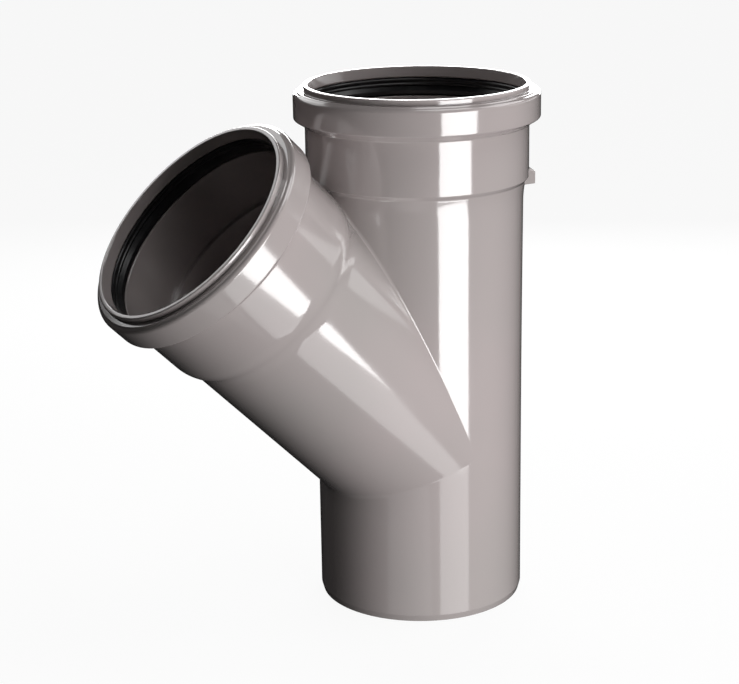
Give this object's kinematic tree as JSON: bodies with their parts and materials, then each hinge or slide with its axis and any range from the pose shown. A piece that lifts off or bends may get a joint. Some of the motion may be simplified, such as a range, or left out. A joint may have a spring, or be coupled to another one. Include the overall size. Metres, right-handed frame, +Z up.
{
  "type": "sewer pipe tee",
  "caption": "Grey PVC sewer branch fitting: straight run with a 45 degree equal branch, ring-seal sockets and a plain spigot.",
  "frame": {"origin": "centre of the spigot's end face, on the axis of the run", "axes": "+Z up the run, from the spigot towards the run socket; the branch leans towards -X at 45 degrees, in the XZ plane"},
  "size_m": [0.3507, 0.1872, 0.4055],
  "materials": {
    "pvc": "glossy moulded grey PVC",
    "seal_rubber": "smooth black moulded rubber"
  },
  "bodies": {
    "root": {"tee_body": "pvc", "run_seal_ring": "seal_rubber", "branch_seal_ring": "seal_rubber"}
  },
  "joints": []
}
